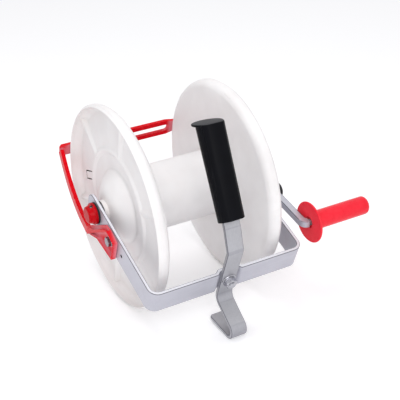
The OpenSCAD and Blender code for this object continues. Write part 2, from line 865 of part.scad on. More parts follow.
module guide_tray() {
    translate([-tray_out_x, 0, 0]) difference() {
        upright(tray_d) polygon(tray_points);
        translate([-overrun, 0, 0]) upright(tray_d - tray_floor + overrun) {
            polygon(inset(pocket_points, tray_wall));
            polygon(ledge_points);
        }
    }
}

// A slice of a ring, leaned in so that its far end passes close to the flange
module guide_arm() {
    translate([-tray_out_x, arm_root[0], 0]) rotate([0, 0, -arm_tilt]) translate([0, -arm_root[0], 0])
        upright(guide_t) intersection() {
            translate(arm_centre) difference() {
                circle(r = arm_r + guide_arm_h / 2);
                circle(r = arm_r - guide_arm_h / 2);
            }
            polygon([
                arm_centre,
                arm_centre + 2 * arm_r * spoke(arm_rise - 90 - arm_half_turn - arm_root_lap),
                arm_centre + 2 * arm_r * spoke(arm_rise - 90 + arm_half_turn)
            ]);
        }
}

// Plate behind the drum, square to a spoke of the drum, with the slot that the wire runs through
module guide_crossing_bar() {
    left_x = -guide_in_x - guide_t - guide_lap;
    rotate([-guide_angle, 0, 0]) difference() {
        rotate([90, 0, 0]) translate([0, 0, -guide_bar_r - guide_t]) linear_extrude(guide_t)
            difference() {
                polygon([
                    [left_x, guide_top],
                    [left_x, guide_top - guide_thin_h],
                    [left_x + guide_thin_len, guide_top - guide_thin_h],
                    [left_x + guide_thin_len + guide_bar_h - guide_thin_h, -guide_top],
                    [guide_right_x - guide_tip_len, -guide_top],
                    [guide_right_x, -guide_tip_h / 2],
                    [guide_right_x, guide_tip_h / 2],
                    [guide_right_x - guide_tip_len, guide_top]
                ]);
                for (x = [slot_left_x + slot_h / 2, slot_right_x - slot_h / 2]) translate([x, 0])
                    circle(d = slot_h);
                translate([slot_left_x + slot_h / 2, -slot_h / 2])
                    square([slot_right_x - slot_left_x - slot_h, slot_h]);
            }
        translate([left_x, guide_bar_r + guide_t, -guide_bar_h]) rotate(45)
            translate([-guide_bar_h, -guide_corner * sin(45), 0])
                cube([2 * guide_bar_h, guide_bar_h, 2 * guide_bar_h]);
    }
}

module guide_bolt() {
    head_x = tray_back_x + tray_floor + play + m6_washer_t;
    color(zinc) in_frame() translate([-head_x - m6_head_h, -guide_bolt_s, 0]) along_x() {
        hexagon(m6_flats, m6_head_h);
        cylinder(d = m6_d, h = m6_head_h + head_x - arm_in_x + m6_nut_h + m6_end);
    }
}

module guide_washer() {
    head_x = tray_back_x + tray_floor + play + m6_washer_t;
    color(zinc) in_frame() translate([-head_x, -guide_bolt_s, 0]) along_x() difference() {
        cylinder(d = m6_washer_d, h = m6_washer_t);
        translate([0, 0, -overrun]) cylinder(r = m6_d / 2 + fit, h = m6_washer_t + 2 * overrun);
    }
}

module guide_nut() {
    color(zinc) in_frame() translate([-arm_in_x, -guide_bolt_s, 0]) along_x() difference() {
        hexagon(m6_flats, m6_nut_h);
        translate([0, 0, -overrun]) cylinder(r = m6_d / 2 + fit, h = m6_nut_h + 2 * overrun);
    }
}

drum_left_flange();
drum_right_flange();
drum_barrel();
axle();
drum_pin();
thrust_washers();
axle_cap();
cap_pin();
crank_hub();
crank_pin();
crank_bar();
crank_screws();
crank_grip();
u_frame();
left_bush();
right_bush();
handle_strip();
handle_grip();
handle_bolt();
handle_nut();
handle_washer();
wire_guide();
guide_bolt();
guide_nut();
guide_washer();
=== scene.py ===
# %% [markdown]
# # A hand reel for fence wire
#
# The solids of this reel come ready made: a white moulded drum on an axle, a bent steel frame with a
# carrying grip, a red wire guide and a red crank. This lesson gives each of them the skin of its real
# material, softens the edges that tools and moulds leave soft, cuts the screw threads, and lights the reel
# like a catalogue picture.
#
# The first cell loads the solids. One Blender unit is a metre, so a millimetre gets a name of its own.

# %% Load the solids
import json
import math

import bmesh
import bpy
from mathutils import Matrix, Vector


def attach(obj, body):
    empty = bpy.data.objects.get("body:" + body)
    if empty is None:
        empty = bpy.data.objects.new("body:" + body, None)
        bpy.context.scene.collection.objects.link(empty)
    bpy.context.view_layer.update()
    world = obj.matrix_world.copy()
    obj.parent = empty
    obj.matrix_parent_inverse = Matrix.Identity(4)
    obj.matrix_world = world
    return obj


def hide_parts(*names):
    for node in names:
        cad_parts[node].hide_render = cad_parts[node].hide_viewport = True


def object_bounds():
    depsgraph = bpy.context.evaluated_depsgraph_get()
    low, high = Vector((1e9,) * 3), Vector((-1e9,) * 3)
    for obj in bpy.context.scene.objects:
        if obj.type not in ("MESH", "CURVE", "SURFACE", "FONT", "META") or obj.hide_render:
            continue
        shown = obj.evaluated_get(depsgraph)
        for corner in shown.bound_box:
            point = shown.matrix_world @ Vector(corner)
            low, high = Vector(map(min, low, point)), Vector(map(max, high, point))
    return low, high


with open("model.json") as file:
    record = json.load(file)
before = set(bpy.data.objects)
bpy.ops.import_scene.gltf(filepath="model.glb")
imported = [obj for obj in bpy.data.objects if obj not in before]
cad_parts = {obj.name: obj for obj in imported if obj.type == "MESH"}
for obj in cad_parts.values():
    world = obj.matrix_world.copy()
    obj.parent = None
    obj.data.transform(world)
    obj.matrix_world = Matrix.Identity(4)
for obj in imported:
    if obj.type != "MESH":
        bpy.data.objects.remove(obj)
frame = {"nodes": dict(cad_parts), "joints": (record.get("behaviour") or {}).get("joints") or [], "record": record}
nodes = frame["nodes"]
cad_low, cad_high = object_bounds()
MM = 0.001
print("pieces:", len(nodes), "size in mm:", [round((b - a) / MM) for a, b in zip(cad_low, cad_high)])

# %% [markdown]
# ## The camera
#
# The picture was taken from the left and above with a long lens held a hair off level. A camera could be
# aimed with a constraint, but a constraint can't hold that small roll. So the camera's three axes are
# written down: right, up and back, which are the columns of its turn, and its place is the fourth column.

# %% Place the camera
scene = bpy.context.scene
camera_data = bpy.data.cameras.new("picture_camera")
camera = bpy.data.objects.new("picture_camera", camera_data)
scene.collection.objects.link(camera)
camera_place = Vector((-442.86, -888.98, 494.96)) * MM
camera_right = Vector((0.86981, -0.49212, -0.03529))
camera_back = Vector((-0.42439, -0.78273, 0.45522))
camera_up = camera_back.cross(camera_right)
turn = Matrix((camera_right, camera_up, camera_back)).transposed().to_4x4()
camera.matrix_world = Matrix.Translation(camera_place) @ turn
picture_px = 400
focal_px = 928.1
camera_data.sensor_width = 36
camera_data.lens = camera_data.sensor_width * focal_px / picture_px
scene.camera = camera
print("lens in mm:", round(camera_data.lens, 1), "distance in mm:", round(camera_place.length / MM))

# %% [markdown]
# ## Colours and nodes
#
# Shaders count light, and the colours people pick on a screen don't: the screen's scale is bent so that
# the dark end gets more steps. One function unbends a hex colour. A second one adds a node, sets its
# sockets and wires it, so that each material below reads as a list of what it is made from. A Mix node
# mixes plain numbers until it is told that it holds colours, so that setting gets a name.

# %% Helpers for materials
def linear(hex_colour):
    parts = [int(hex_colour[i:i + 2], 16) / 255 for i in (1, 3, 5)]
    return (*[c / 12.92 if c <= 0.04045 else ((c + 0.055) / 1.055) ** 2.4 for c in parts], 1.0)


def add_node(tree, kind, settings=None, **sockets):
    """Adds a node. A socket given another socket is linked, any other value is set; _2 means input 2."""
    node = tree.nodes.new("ShaderNode" + kind)
    for name, value in (settings or {}).items():
        setattr(node, name, value)
    for name, value in sockets.items():
        key = int(name[1:]) if name[0] == "_" else name.replace("_", " ")
        if isinstance(value, bpy.types.NodeSocket):
            tree.links.new(value, node.inputs[key])
        else:
            node.inputs[key].default_value = value
    return node


def new_material(name):
    material = bpy.data.materials.new(name)
    material.use_nodes = True
    material.node_tree.nodes.clear()
    return material, material.node_tree


COLOURS = {"data_type": "RGBA"}
print("mid grey unbends to", round(linear("#808080")[0], 3))

# %% [markdown]
# ## The light tent
#
# A catalogue picture of a white thing on white needs light that wraps round it without washing it out. A
# photographer hangs a tent of white cloth round the table. The world stands for that tent here: it looks
# white to the camera, to mirror-like surfaces and through glass, while it lights the reel at a lower, even
# level. A picture of a real studio could do the same, but an even tent leaves no strange reflections.

# %% The world
def seen_directly(tree):
    """1 for what the camera, mirrors and glass see, 0 for the light that falls on the reel."""
    path = add_node(tree, "LightPath").outputs
    seen = add_node(tree, "Math", {"operation": "MAXIMUM"}, _0=path["Is Camera Ray"],
                    _1=path["Is Glossy Ray"])
    seen = add_node(tree, "Math", {"operation": "MAXIMUM"}, _0=seen.outputs[0],
                    _1=path["Is Transmission Ray"])
    return seen.outputs[0]


scene.view_settings.view_transform = "Standard"
world = bpy.data.worlds.new("light_tent")
scene.world = world
world.use_nodes = True
tree = world.node_tree
tree.nodes.clear()
wall = add_node(tree, "Background", Color=linear("#FFFFFF"), Strength=1.0)
fill = add_node(tree, "Background", Color=linear("#FAFAFC"), Strength=0.74)
mixed = add_node(tree, "MixShader", Fac=seen_directly(tree), _1=fill.outputs[0], _2=wall.outputs[0])
add_node(tree, "OutputWorld", Surface=mixed.outputs[0])
print("tent strength:", round(fill.inputs["Strength"].default_value, 2))

# %% [markdown]
# ## Two soft lamps
#
# Light from all sides alone would hide the ribs and the rims. One broad lamp stands behind the camera, a
# little above it, and a second one hangs over the reel, so that each raised line gets a lit side and a
# shaded side. Both are discs of about a metre, because a large lamp close by throws a shadow with a soft
# edge.

# %% The lamps
def add_lamp(name, place_mm, size_mm, watts):
    data = bpy.data.lights.new(name, "AREA")
    data.shape = "DISK"
    data.size = size_mm * MM
    data.energy = watts
    lamp = bpy.data.objects.new(name, data)
    scene.collection.objects.link(lamp)
    lamp.location = Vector(place_mm) * MM
    lamp.rotation_euler = (-lamp.location).to_track_quat("-Z", "Y").to_euler()
    return lamp


key = add_lamp("front_softbox", (-450, -1200, 600), 1000, 7.2)
top = add_lamp("top_softbox", (-100, 150, 1250), 800, 4.0)
print("lamps:", key.name, top.name)

# %% [markdown]
# ## The floor
#
# The reel stands on a roll of matt white paper, far wider than any view. Paper alone would come out pale
# grey next to the tent, so to the camera and to mirrors it glows a little as well. The glow stays low,
# which leaves the reel's shadow on the paper.

# %% The floor
floor_width = 60
bpy.ops.mesh.primitive_plane_add(size=floor_width, location=(0, 0, cad_low[2]))
floor = bpy.context.object
floor.name = "studio_floor"
paper, tree = new_material("white_backdrop_paper")
matt = add_node(tree, "BsdfDiffuse", Color=linear("#F5F5F6"))
glow = add_node(tree, "Emission", Color=linear("#FFFFFF"), Strength=0.22)
lifted = add_node(tree, "AddShader", _0=matt.outputs[0], _1=glow.outputs[0])
mixed = add_node(tree, "MixShader", Fac=seen_directly(tree), _1=matt.outputs[0], _2=lifted.outputs[0])
add_node(tree, "OutputMaterial", Surface=mixed.outputs[0])
floor.data.materials.append(paper)
print("floor at", round(cad_low[2] / MM, 1), "mm")

# %% [markdown]
# ## White polypropylene, injection moulded
#
# The flanges and the barrel are polypropylene: a waxy, slightly see-into white that comes out of a polished
# but not mirror-bright mould. To the eye it gives soft highlights, a faint cloudiness where the melt flowed
# out from the hub, and a duller band on the rim where the reel has stood and rolled on the ground. Shade is
# painted into its hollows: ambient occlusion asks how much of the sky a point sees within a few
# millimetres, a wide search paints a light shade into the troughs, and a narrow one paints a dark shade
# into the hollows. The walls of the slit round the wire tongue carry a mark named slit, and painted shade
# makes them dark.

# %% White polypropylene, clouds and wear
white_pp, tree = new_material("polypropylene_moulded_white")
place = add_node(tree, "TexCoord").outputs["Object"]
axes = add_node(tree, "SeparateXYZ", Vector=place).outputs
spoke = add_node(tree, "CombineXYZ", Y=axes["Y"], Z=axes["Z"])
reach = add_node(tree, "VectorMath", {"operation": "LENGTH"}, _0=spoke.outputs[0]).outputs["Value"]
# The melt's clouds are about 45 mm wide.
flow = add_node(tree, "TexNoise", Vector=place, Scale=1 / (45 * MM), Detail=3.0)
cloud = add_node(tree, "ValToRGB", Fac=flow.outputs["Fac"])
cloud.color_ramp.elements[0].position = 0.35
cloud.color_ramp.elements[0].color = linear("#EBE8E8")
cloud.color_ramp.elements[1].position = 0.65
cloud.color_ramp.elements[1].color = linear("#F3F1F1")
rim_from, rim_full = 117 * MM, 122 * MM
rim = add_node(tree, "MapRange", Value=reach, From_Min=rim_from, From_Max=rim_full)
scuff = add_node(tree, "TexNoise", Vector=place, Scale=1 / (7 * MM), Detail=5.0, Roughness=0.65)
wear_and_edge_shade = add_node(tree, "MapRange", Value=scuff.outputs["Fac"], From_Min=0.50, From_Max=0.75)
wear = add_node(tree, "Math", {"operation": "MULTIPLY"}, _0=rim.outputs[0], _1=wear_and_edge_shade.outputs[0])
handled = add_node(tree, "Mix", COLOURS, Factor=wear.outputs[0], A=cloud.outputs["Color"],
                   B=linear("#ECEAE9"))
print("the rim wears from", round(rim_from / MM), "mm outwards")

# %% White polypropylene, painted shade in hollows
# Painted shade: ambient occlusion within 18 mm darkens the troughs towards #E7E2E0.
trough = add_node(tree, "AmbientOcclusion", {"samples": 8}, Distance=18 * MM)
film = add_node(tree, "MapRange", Value=trough.outputs["AO"], From_Min=0.97, From_Max=0.55)
with_hollow_shade_sheen = add_node(tree, "Mix", COLOURS, Factor=film.outputs[0], A=handled.outputs["Result"],
                  B=linear("#E7E2E0"))
# Painted shade: ambient occlusion within 3.5 mm darkens the hollows towards dark brown #554D48.
hollow = add_node(tree, "AmbientOcclusion", {"samples": 8}, Distance=3.5 * MM)
crevice_shade = add_node(tree, "MapRange", Value=hollow.outputs["AO"], From_Min=0.66, From_Max=0.30)
crevice_shaded = add_node(tree, "Mix", COLOURS, Factor=crevice_shade.outputs[0], A=with_hollow_shade_sheen.outputs["Result"],
                 B=linear("#554D48"))
# Painted shade: the slit's walls, marked slit, are painted near black #4A423D.
slit = add_node(tree, "Attribute", {"attribute_name": "slit"}).outputs["Fac"]
slit_shaded = add_node(tree, "Mix", COLOURS, Factor=slit, A=crevice_shaded.outputs["Result"], B=linear("#4A423D"))
print("film within", round(trough.inputs["Distance"].default_value / MM, 1), "mm, dust within",
      round(hollow.inputs["Distance"].default_value / MM, 1), "mm")

# %% White polypropylene, gloss and grain
gloss = add_node(tree, "MapRange", Value=wear.outputs[0], To_Min=0.42, To_Max=0.50)
# The mould's spark-eroded grain is about 0.2 mm, finer than a pixel, so it is drawn at 1.2 mm.
grain = add_node(tree, "TexNoise", Vector=place, Scale=1 / (1.2 * MM), Detail=2.0)
bump = add_node(tree, "Bump", Height=grain.outputs["Fac"], Strength=0.08, Distance=0.2 * MM)
skin = add_node(tree, "BsdfPrincipled", Base_Color=slit_shaded.outputs["Result"], Roughness=gloss.outputs[0],
                IOR=1.49, Specular_IOR_Level=0.35, Subsurface_Weight=0.12, Subsurface_Scale=1.0,
                Subsurface_Radius=(2.0 * MM, 1.8 * MM, 1.7 * MM), Normal=bump.outputs[0])
add_node(tree, "OutputMaterial", Surface=skin.outputs[0])
print("made", white_pp.name)

# %% [markdown]
# ## Red polypropylene, moulded glossy
#
# The guide, the axle cap and the crank grip are dyed through in signal red and come from a polished mould,
# so they shine more than the drum. The dye isn't stirred in evenly, which leaves a faint mottle. Thick
# moulded sections sink a little as they cool, which the eye reads as a slow wave in the highlight. Corners
# that get knocked turn a paler, drier red: a helper compares the true normal with one rounded over a small
# radius, and the two differ only along edges. Hollows get a painted tone: the pale pink in the guide's tray
# is a painted reflection, and the darker red in the cap's hollows is painted shade. The crank grip is a
# little brighter than the guide and the cap a little deeper, so each has a dye of its own.

# %% Red polypropylene
def edge_match(tree, radius_mm):
    """The true normal against one rounded over a radius: 1 on flat faces, less along edges."""
    rounded = add_node(tree, "Bevel", {"samples": 6}, Radius=radius_mm * MM)
    facing = add_node(tree, "NewGeometry").outputs["Normal"]
    match = add_node(tree, "VectorMath", {"operation": "DOT_PRODUCT"}, _0=rounded.outputs[0], _1=facing)
    return match.outputs["Value"]


def red_polypropylene(name, dark, light, film, shine):
    material, tree = new_material(name)
    place = add_node(tree, "TexCoord").outputs["Object"]
    edge = add_node(tree, "MapRange", Value=edge_match(tree, radius_mm=1.5), From_Min=0.97, From_Max=0.80)
    knocks = add_node(tree, "TexNoise", Vector=place, Scale=1 / (5 * MM), Detail=4.0)
    chance = add_node(tree, "MapRange", Value=knocks.outputs["Fac"], From_Min=0.48, From_Max=0.75)
    wear = add_node(tree, "Math", {"operation": "MULTIPLY"}, _0=edge.outputs[0], _1=chance.outputs[0])
    tone = add_node(tree, "TexNoise", Vector=place, Scale=1 / (30 * MM), Detail=2.0)
    mottle = add_node(tree, "Mix", Factor=0.5, A=tone.outputs["Fac"], B=knocks.outputs["Fac"])
    dye = add_node(tree, "Mix", COLOURS, Factor=mottle.outputs["Result"], A=linear(dark),
                   B=linear(light))
    # Painted light in hollows within 9 mm: a paler colour is a painted reflection, a darker one painted shade.
    hollow = add_node(tree, "AmbientOcclusion", {"samples": 8}, Distance=9 * MM)
    hollow_paint_share = add_node(tree, "MapRange", Value=hollow.outputs["AO"], From_Min=0.93, From_Max=0.55)
    with_hollow_shade_sheen = add_node(tree, "Mix", COLOURS, Factor=hollow_paint_share.outputs[0], A=dye.outputs["Result"],
                      B=linear(film))
    knocked = "#EE5A64"
    skin = add_node(tree, "Mix", COLOURS, Factor=wear.outputs[0], A=with_hollow_shade_sheen.outputs["Result"],
                    B=linear(knocked))
    gloss = add_node(tree, "MapRange", Value=wear.outputs[0], To_Min=0.20, To_Max=0.45)
    sink = add_node(tree, "TexNoise", Vector=place, Scale=1 / (14 * MM), Detail=1.0)
    bump = add_node(tree, "Bump", Height=sink.outputs["Fac"], Strength=0.08, Distance=0.4 * MM)
    body = add_node(tree, "BsdfPrincipled", Base_Color=skin.outputs["Result"], Roughness=gloss.outputs[0],
                    IOR=1.49, Specular_IOR_Level=shine, Normal=bump.outputs[0])
    add_node(tree, "OutputMaterial", Surface=body.outputs[0])
    return material


# The guide's pale pink hollow tone is a painted reflection in its tray, the cap's darker one painted shade.
red_pp = red_polypropylene("polypropylene_moulded_signal_red", dark="#D00414", light="#E2081A",
                           film="#E68A96", shine=0.08)
bright_red_pp = red_polypropylene("polypropylene_moulded_bright_red", dark="#E2162A", light="#FF3646",
                                  film="#F53644", shine=0.20)
deep_red_pp = red_polypropylene("polypropylene_moulded_deep_red", dark="#B2030F", light="#C60716",
                                film="#9C0712", shine=0.08)
print("made", red_pp.name, bright_red_pp.name, deep_red_pp.name)

# %% [markdown]
# ## Black vinyl, moulded
#
# The carrying grip is soft PVC pushed over the strip: near black, with a satin skin that a hand keeps
# rubbed, and a fine leathery grain that breaks the highlight up. Its flat top is painted a lighter grey, a
# painted highlight that the shader finds by how far the surface faces up.

# %% Black vinyl
black_vinyl, tree = new_material("pvc_moulded_black")
place = add_node(tree, "TexCoord").outputs["Object"]
upward = add_node(tree, "SeparateXYZ", Vector=add_node(tree, "NewGeometry").outputs["Normal"]).outputs["Z"]
hand = add_node(tree, "TexNoise", Vector=place, Scale=1 / (22 * MM), Detail=3.0)
rubbed = add_node(tree, "Mix", COLOURS, Factor=hand.outputs["Fac"], A=linear("#030306"),
                  B=linear("#0B0C12"))
# Painted highlight: faces that look up are painted a lighter grey #333337.
top_highlight = add_node(tree, "MapRange", Value=upward, From_Min=0.80, From_Max=0.97)
skin = add_node(tree, "Mix", COLOURS, Factor=top_highlight.outputs[0], A=rubbed.outputs["Result"],
                B=linear("#333337"))
gloss = add_node(tree, "MapRange", Value=hand.outputs["Fac"], To_Min=0.38, To_Max=0.58)
# Real leather grain on such a grip is about 0.4 mm across; 1.0 mm shows in a small picture.
grain = add_node(tree, "TexVoronoi", {"feature": "DISTANCE_TO_EDGE"}, Vector=place, Scale=1 / (1.0 * MM))
bump = add_node(tree, "Bump", Height=grain.outputs["Distance"], Strength=0.25, Distance=0.3 * MM)
body = add_node(tree, "BsdfPrincipled", Base_Color=skin.outputs["Result"], Roughness=gloss.outputs[0],
                IOR=1.53, Specular_IOR_Level=0.07, Normal=bump.outputs[0])
add_node(tree, "OutputMaterial", Surface=body.outputs[0])
print("made", black_vinyl.name)

# %% [markdown]
# ## Black nylon, moulded
#
# Bushes and crank hub carry load and turn on steel, which calls for nylon. It is harder than the grip,
# a shade greyer, and keeps the even stipple of a spark-eroded mould. Its corners polish where cloth and
# gloves brush them.

# %% Black nylon
black_nylon, tree = new_material("polyamide_moulded_black")
place = add_node(tree, "TexCoord").outputs["Object"]
tone = add_node(tree, "TexNoise", Vector=place, Scale=1 / (12 * MM), Detail=3.0)
skin = add_node(tree, "Mix", COLOURS, Factor=tone.outputs["Fac"], A=linear("#121214"),
                B=linear("#202024"))
gloss = add_node(tree, "MapRange", Value=edge_match(tree, radius_mm=1.2), From_Min=0.97, From_Max=0.82,
                 To_Min=0.50, To_Max=0.34)
# A spark-eroded stipple is about 0.15 mm across; 0.8 mm shows in a close view.
stipple = add_node(tree, "TexNoise", Vector=place, Scale=1 / (0.8 * MM), Detail=2.0)
bump = add_node(tree, "Bump", Height=stipple.outputs["Fac"], Strength=0.2, Distance=0.2 * MM)
body = add_node(tree, "BsdfPrincipled", Base_Color=skin.outputs["Result"], Roughness=gloss.outputs[0],
                IOR=1.53, Specular_IOR_Level=0.30, Normal=bump.outputs[0])
add_node(tree, "OutputMaterial", Surface=body.outputs[0])
print("made", black_nylon.name)

# %% [markdown]
# ## Mild steel, zinc plated
#
# The frame, the strip and the crank bar are flat steel, bent cold and then plated with bright zinc. Zinc
# is a cool, slightly lilac grey with no mirror in it: the plating is a few thousandths of a millimetre of
# fine crystals over rolled steel. The eye gets broad soft reflections, faint clouding from the clear
# passivation, and hair-fine scratches along the bar.
#
# Some places differ, and a node alone can't tell where they are, so their faces carry marks that are
# painted on when a piece is made. A bend gets a darker grey, painted shade along the crease (bend). The
# narrow sides of a bar get a brighter grey, a painted highlight (narrow). The rounded corners of a bar get a
# dark grey, a painted dark reflection along the edge, while those of washers and bolts are polished bright
# (corner). The wall of a small hole is painted near black as painted shade (hole).

# %% Zinc-plated steel
def zinc_plated(name, dark, light, scratch_axis, roughness, edge_mm, edge_shade_and_polish_colour):
    material, tree = new_material(name)
    place = add_node(tree, "TexCoord").outputs["Object"]
    cloud = add_node(tree, "TexNoise", Vector=place, Scale=1 / (22 * MM), Detail=3.0)
    clouded = add_node(tree, "Mix", COLOURS, Factor=cloud.outputs["Fac"], A=linear(dark),
                       B=linear(light))
    # Painted shade: faces in a bend are painted a darker grey #A9A9AF.
    bend = add_node(tree, "Attribute", {"attribute_name": "bend"}).outputs["Fac"]
    bend_shaded = add_node(tree, "Mix", COLOURS, Factor=bend, A=clouded.outputs["Result"],
                    B=linear("#A9A9AF"))
    # Painted highlight: the narrow sides of a bar are painted a brighter grey #DCDCE2.
    narrow = add_node(tree, "Attribute", {"attribute_name": "narrow"}).outputs["Fac"]
    side_highlighted = add_node(tree, "Mix", COLOURS, Factor=narrow, A=bend_shaded.outputs["Result"],
                     B=linear("#DCDCE2"))
    # Rounded corners get the edge colour: on bars a dark grey that is a painted dark reflection, on fasteners a
    # bright polish.
    edge = add_node(tree, "MapRange", Value=edge_match(tree, edge_mm), From_Min=0.985, From_Max=0.85)
    corner = add_node(tree, "Attribute", {"attribute_name": "corner"}).outputs["Fac"]
    wear_and_edge_shade = add_node(tree, "Math", {"operation": "MAXIMUM"}, _0=edge.outputs[0], _1=corner)
    skin = add_node(tree, "Mix", COLOURS, Factor=wear_and_edge_shade.outputs[0], A=side_highlighted.outputs["Result"],
                    B=linear(edge_shade_and_polish_colour))
    # Painted shade: the wall of a small hole is painted near black #2C2C30.
    hole = add_node(tree, "Attribute", {"attribute_name": "hole"}).outputs["Fac"]
    hole_shaded = add_node(tree, "Mix", COLOURS, Factor=hole, A=skin.outputs["Result"], B=linear("#2C2C30"))
    # Scratches are hairs of 0.05 mm; a stretched noise 1 mm wide and 40 mm long shows their direction.
    hair_width, hair_length = 1.0 * MM, 40 * MM
    stretch = [1 / hair_width] * 3
    stretch[scratch_axis] = 1 / hair_length
    along = add_node(tree, "Mapping", Vector=place, Scale=stretch)
    hairs = add_node(tree, "TexNoise", Vector=along.outputs[0], Scale=1.0, Detail=3.0)
    spread = 0.07
    gloss = add_node(tree, "MapRange", Value=hairs.outputs["Fac"], From_Min=0.3, From_Max=0.7,
                     To_Min=roughness - spread, To_Max=roughness + spread)
    bump = add_node(tree, "Bump", Height=hairs.outputs["Fac"], Strength=0.10, Distance=0.1 * MM)
    body = add_node(tree, "BsdfPrincipled", Base_Color=hole_shaded.outputs["Result"], Metallic=1.0,
                    Roughness=gloss.outputs[0], Normal=bump.outputs[0])
    add_node(tree, "OutputMaterial", Surface=body.outputs[0])
    return material


along_x, along_z = 0, 2
# The bars' dark edge colour is a painted dark reflection; the fasteners' bright one is polish.
bar = {"edge_mm": 0.8, "edge_shade_and_polish_colour": "#787880"}
fastener = {"scratch_axis": along_x, "roughness": 0.27, "edge_mm": 0.3, "edge_shade_and_polish_colour": "#DCDCE0"}
zinc_across = zinc_plated("mild_steel_zinc_plated_rolled_across", "#B9B9C2", "#CACAD2",
                          along_x, 0.60, **bar)
zinc_upright = zinc_plated("mild_steel_zinc_plated_rolled_upright", "#A6A6AB", "#BABABF",
                           along_z, 0.62, **bar)
# One plating in two painted tones: the lighter one was raised for the strip's bolt and nut, which mirror the
# shaded floor, and the darker one lowered for the guide's bolt, nut and washer, which mirror the bright floor.
zinc_painted_lighter = zinc_plated("mild_steel_zinc_plated_painted_lighter", "#A6A6AC", "#BEBEC4", **fastener)
zinc_painted_darker = zinc_plated("mild_steel_zinc_plated_painted_darker", "#7A7A80", "#98989E", **fastener)
print("made", zinc_across.name, zinc_upright.name, zinc_painted_lighter.name, zinc_painted_darker.name)

# %% [markdown]
# ## Spring steel, oiled
#
# The slit pins that hold the drum, the cap and the crank on the axle are rolled from spring steel and blank
# from grinding, with a film of oil. They read as small bright rings round a dark hollow.

# %% Spring steel
spring_steel, tree = new_material("spring_steel_ground_oiled")
place = add_node(tree, "TexCoord").outputs["Object"]
temper = add_node(tree, "TexNoise", Vector=place, Scale=1 / (4 * MM), Detail=3.0)
skin = add_node(tree, "Mix", COLOURS, Factor=temper.outputs["Fac"], A=linear("#77767B"),
                B=linear("#9A999D"))
gloss = add_node(tree, "MapRange", Value=temper.outputs["Fac"], To_Min=0.28, To_Max=0.46)
body = add_node(tree, "BsdfPrincipled", Base_Color=skin.outputs["Result"], Metallic=1.0,
                Roughness=gloss.outputs[0])
add_node(tree, "OutputMaterial", Surface=body.outputs[0])
print("made", spring_steel.name)

# %% [markdown]
# ## Edges that catch the light
#
# No real edge is a knife: rolled bar has a corner radius, a mould is never quite sharp, and a sheared end
# is tumbled. A Bevel modifier could round the solids, but it would round hollow corners and tiny holes too.
# So each solid is copied into bmesh, its flat faces are joined up, and only the outward edges that are long
# enough to show are bevelled. The new faces get the mark named corner, and a test can give other faces
# marks of their own. Weighted normals then keep the big faces flat and let the bevels carry the shine. A
# piece made this way stands for its solid and rides on the same body.

# %% Helpers that hand a piece over
body_of = {node: body for body, names in frame["record"]["behaviour"]["bodies"].items() for node in names}


def stand_for(piece, name, finish):
    """Gives a new piece its finish, lets it ride where the solid rode, and hides the solid."""
    piece.data.materials.append(finish)
    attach(piece, body_of[name])
    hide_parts(name)


def finish_mesh(name, shape, smooth_below_deg, even=True):
    """Turns a bmesh into a piece that is smooth across edges flatter than an angle."""
    mesh = bpy.data.meshes.new(name)
    shape.to_mesh(mesh)
    shape.free()
    mesh.shade_smooth()
    mesh.set_sharp_from_angle(angle=math.radians(smooth_below_deg))
    piece = bpy.data.objects.new(name, mesh)
    scene.collection.objects.link(piece)
    if even:
        piece.modifiers.new("even_normals", "WEIGHTED_NORMAL").keep_sharp = True
    return piece


print("solids to dress:", len(body_of))

# %% Helper that rounds edges
weld, flat_deg, bevel_steps = 0.05 * MM, 0.5, 3


def soften(name, finish, radius_mm, shortest_mm=0.45, sharp_deg=28, smooth_deg=32, chosen=None, marks=None,
           even=True):
    """Rounds a copy of a solid, marks its faces, and lets it stand for the solid."""
    shape = bmesh.new()
    shape.from_mesh(nodes[name].data)
    bmesh.ops.remove_doubles(shape, verts=shape.verts, dist=weld)
    bmesh.ops.dissolve_limit(shape, angle_limit=math.radians(flat_deg), verts=shape.verts,
                             edges=shape.edges)
    edges = [edge for edge in shape.edges
             if edge.is_manifold and edge.calc_face_angle_signed(0.0) > math.radians(sharp_deg)
             and edge.calc_length() > shortest_mm * MM and (chosen is None or chosen(edge))]
    corner = shape.faces.layers.float.new("corner")
    rounded = bmesh.ops.bevel(shape, geom=edges, offset=radius_mm * MM, offset_type="OFFSET",
                              segments=bevel_steps, profile=0.5, affect="EDGES", clamp_overlap=False,
                              miter_outer="ARC")
    for face in rounded["faces"]:
        face[corner] = 1.0
    for layer, belongs in (marks or {}).items():
        share = shape.faces.layers.float.new(layer)
        for face in shape.faces:
            face[share] = 1.0 if belongs(face) else 0.0
    stand_for(finish_mesh(name + "_soft", shape, smooth_deg, even), name, finish)
    return len(edges)


print("faces across a rounded edge:", bevel_steps)

# %% [markdown]
# ## Which edges and faces
#
# A piece can say which of its edges are rounded. On the grip these are only the edges of its large faces,
# on the right flange only what can be seen outside the barrel's end, and the slit round the wire tongue is
# cut by a thin blade of the mould, so its edges stay crisp.

# %% Choose edges
YZ = Vector((0, 1, 1))
large_face = 250 * MM * MM
barrel_end_x = 62.5 * MM
tongue_from, tongue_to = 69.5 * MM, 100 * MM
square = 0.02


def of_large_face(edge):
    return max(face.calc_area() for face in edge.link_faces) > large_face


def outside_barrel(edge):
    return min(vert.co.x for vert in edge.verts) > barrel_end_x


def in_slit(face):
    """The slit's walls stand square to the web, at the tongue's distance from the axle."""
    reach = (face.calc_center_median() * YZ).length
    return tongue_from < reach < tongue_to and abs(face.normal.x) < square


def not_slit(edge):
    return not any(in_slit(face) for face in edge.link_faces)


print("wire tongue looked for", round(tongue_from / MM, 1), "to", round(tongue_to / MM), "mm from the axle")

